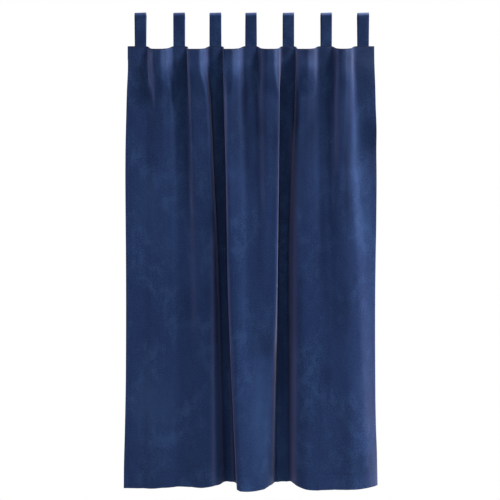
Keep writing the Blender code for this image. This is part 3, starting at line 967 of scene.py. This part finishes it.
class CURTAIN_OT_stitches(bpy.types.Operator):
    """Sew the heading with two rows of stitches and each hem with one, seen on both sides"""
    bl_idname = "curtain.stitches"
    bl_label = "Stitches"

    def execute(self, context):
        sizes = context.scene.curtain_sizes
        width, facing, turned = sizes.flat_width, sizes.facing_depth, sizes.bottom_hem
        sunk = THICK / 2 * (1 - DENT_DEPTH)
        hem_back = THICK / 2 + HEM_LAYERS * (1 - DENT_DEPTH)
        side = sizes.side_hem - ROW_IN
        inside = np.linspace(ROW_IN, width - ROW_IN, POINTS_ACROSS)
        downward = np.linspace(ROW_IN, DROP - ROW_IN, POINTS_DOWN)

        def around(place):
            return np.array([place - NEARBY, place, place + NEARBY])

        def on_panel(places, depths, out):
            grid = settled(draped(places, depths, width), depths)
            return grid + facing_way(grid) * out

        def row_across(depth, out):
            return on_panel(inside, around(depth), out)[1]

        def row_down(place, out):
            return on_panel(around(place), downward, out)[:, 1]

        def row_behind(depth):
            middle, way = facing_middle(inside, around(depth), sizes)
            return (middle - way * THICK / 2)[1]

        heading = []
        for depth in (ROW_IN, facing - ROW_IN):
            heading += [row_across(depth, sunk), row_behind(depth)]
        sew("heading_stitches", heading, sizes, seed=3)
        hems = []
        for out in (sunk, -hem_back):
            hems += [row_down(side, out), row_down(width - side, out),
                     row_across(DROP - turned + ROW_IN, out)]
        sew("hem_stitches", hems, sizes, seed=5)
        return {"FINISHED"}


LENS = 50.0  # millimetres, on a 36 mm wide sensor
CAMERA_PLACE = (-0.0045, -3.125, -1.0653)  # level with half way down the curtain
KEY_PLACE, KEY_SIZE, KEY_COLOUR = (2.88, -0.28, 3.73), 3.2, (0.93, 0.96, 1.0)
FILL_PLACE, FILL_SIZE, FILL_COLOUR = (-7.0, -0.85, 1.20), 3.0, (0.90, 0.76, 1.0)
SURROUND_LIGHT = 0.33
WHITE = (1.0, 1.0, 1.0, 1.0)
FLOOR_GAP, FLOOR_REACH, FLOOR_COLOUR = 0.12, 30.0, (0.25, 0.25, 0.25, 1.0)


class CURTAIN_OT_stage(bpy.types.Operator):
    """Set the pale floor, the soft lights and the camera"""
    bl_idname = "curtain.stage"
    bl_label = "Stage"

    def execute(self, context):
        scene = context.scene
        looks = scene.curtain_looks
        scene.view_settings.view_transform = "Standard"
        self.lay_floor()
        self.light("Key", KEY_PLACE, KEY_SIZE, looks.key_power, KEY_COLOUR)
        self.light("Fill", FILL_PLACE, FILL_SIZE, looks.fill_power, FILL_COLOUR)
        self.surround(scene)
        camera = bpy.data.cameras.new("Camera")
        camera.lens = LENS
        holder = new_object("Camera", camera)
        holder.location = CAMERA_PLACE
        holder.rotation_euler = (math.pi / 2, 0.0, 0.0)
        scene.camera = holder
        return {"FINISHED"}

    def lay_floor(self):
        level = CAD_BOX[0][2] - FLOOR_GAP
        reach = FLOOR_REACH
        mesh = bpy.data.meshes.new("floor")
        mesh.from_pydata([(-reach, -reach, level), (reach, -reach, level),
                          (reach, reach, level), (-reach, reach, level)], [], [(0, 1, 2, 3)])
        nodes = Nodes("Pale floor")
        nodes.surface({"Base Color": FLOOR_COLOUR, "Roughness": 0.9})
        white = nodes.node("ShaderNodeEmission", {"Strength": 1.0}).outputs["Emission"]
        seen = nodes.node("ShaderNodeLightPath").outputs["Is Camera Ray"]
        mix = nodes.node("ShaderNodeMixShader", {
            "Fac": seen, 1: nodes.shader.outputs["BSDF"], 2: white})
        output = nodes.tree.nodes["Material Output"]
        feed(nodes.tree, output, {"Surface": mix.outputs["Shader"]})
        mesh.materials.append(nodes.material)
        new_object("floor", mesh)

    def light(self, name, place, size, power, colour):
        lamp = bpy.data.lights.new(name, "AREA")
        lamp.shape, lamp.size = "DISK", size
        lamp.energy, lamp.color = power, colour
        holder = new_object(name, lamp)
        holder.location = place
        aim = Vector((0.0, 0.0, CAMERA_PLACE[2])) - Vector(place)
        holder.rotation_euler = aim.to_track_quat("-Z", "Y").to_euler()

    def surround(self, scene):
        world = bpy.data.worlds.new("Soft surround")
        world.use_nodes = True
        tree = world.node_tree
        glow = tree.nodes["Background"]
        feed(tree, glow, {"Color": WHITE, "Strength": SURROUND_LIGHT})
        seen = add_node(tree, "ShaderNodeBackground", {"Color": WHITE, "Strength": 1.0})
        ray = add_node(tree, "ShaderNodeLightPath").outputs["Is Camera Ray"]
        mix = add_node(tree, "ShaderNodeMixShader", {
            "Fac": ray, 1: glow.outputs["Background"], 2: seen.outputs["Background"]})
        feed(tree, tree.nodes["World Output"], {"Surface": mix.outputs["Shader"]})
        scene.world = world


class CURTAIN_PT_panel(bpy.types.Panel):
    """The curtain's pieces in the order in which they are sewn"""
    bl_label = "Curtain"
    bl_idname = "CURTAIN_PT_panel"
    bl_space_type = "VIEW_3D"
    bl_region_type = "UI"
    bl_category = "Curtain"

    def draw(self, context):
        for operator in STEPS:
            self.layout.operator(operator.bl_idname)
        for group in (context.scene.curtain_sizes, context.scene.curtain_looks):
            for name in group.__annotations__:
                self.layout.prop(group, name)


STEPS = (CURTAIN_OT_panel, CURTAIN_OT_heading, CURTAIN_OT_tabs, CURTAIN_OT_stitches,
         CURTAIN_OT_stage)
CLASSES = (CurtainSizes, CurtainLooks) + STEPS + (CURTAIN_PT_panel,)


def register():
    for cls in CLASSES:
        bpy.utils.register_class(cls)
    bpy.types.Scene.curtain_sizes = PointerProperty(type=CurtainSizes)
    bpy.types.Scene.curtain_looks = PointerProperty(type=CurtainLooks)


def unregister():
    del bpy.types.Scene.curtain_looks
    del bpy.types.Scene.curtain_sizes
    for cls in reversed(CLASSES):
        bpy.utils.unregister_class(cls)


def main():
    register()
    bpy.ops.curtain.panel()
    bpy.ops.curtain.heading()
    bpy.ops.curtain.tabs()
    bpy.ops.curtain.stitches()
    bpy.ops.curtain.stage()


if __name__ == "__main__":
    main()
